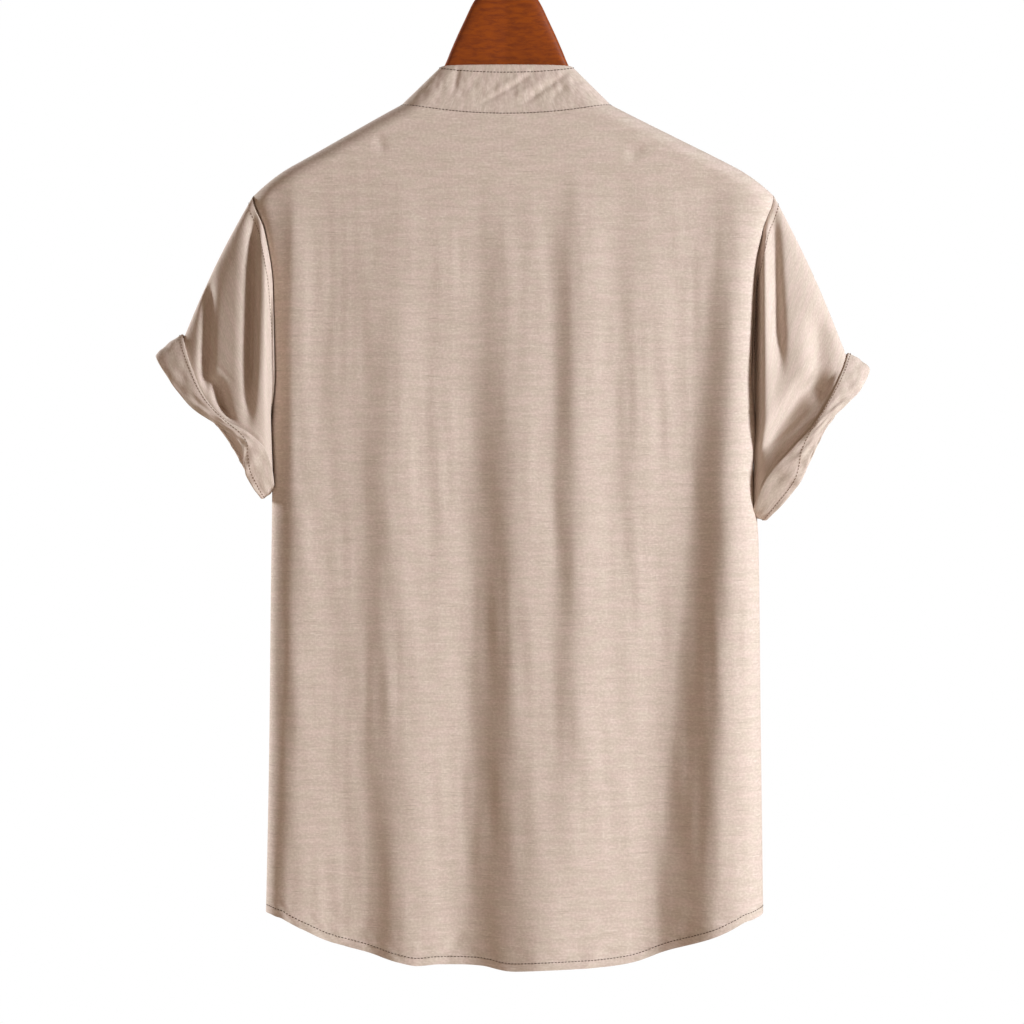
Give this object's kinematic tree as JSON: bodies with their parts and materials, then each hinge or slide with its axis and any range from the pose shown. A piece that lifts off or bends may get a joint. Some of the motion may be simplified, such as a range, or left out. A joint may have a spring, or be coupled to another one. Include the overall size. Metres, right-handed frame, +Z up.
{
  "type": "band collar shirt on a wooden hanger",
  "caption": "Short-sleeved shirt with a narrow standing band collar, turned-up cuffs and a curved hem, hung on a contoured wooden hanger.",
  "frame": {"origin": "the point where the hanger's hook bears on its rod, at the inner top of the hook", "axes": "+Z up; the shirt's back faces -Y and its buttoned front +Y, so +X is the wearer's right"},
  "size_m": [0.616, 0.095, 0.917],
  "materials": {
    "linen": "matte slub weave",
    "button": "satin horn look",
    "wood": "satin varnish",
    "steel": "polished"
  },
  "bodies": {
    "root": {"back_panel": "linen", "front_left": "linen", "front_right": "linen", "placket": "linen", "collar_band": "linen", "sleeve_left": "linen", "cuff_left": "linen", "sleeve_right": "linen", "cuff_right": "linen", "button_1": "button", "button_2": "button", "button_3": "button", "button_4": "button", "button_5": "button", "button_6": "button", "button_collar": "button", "hanger_wood": "wood", "hanger_hook": "steel", "hanger_ferrule": "steel"}
  },
  "joints": []
}
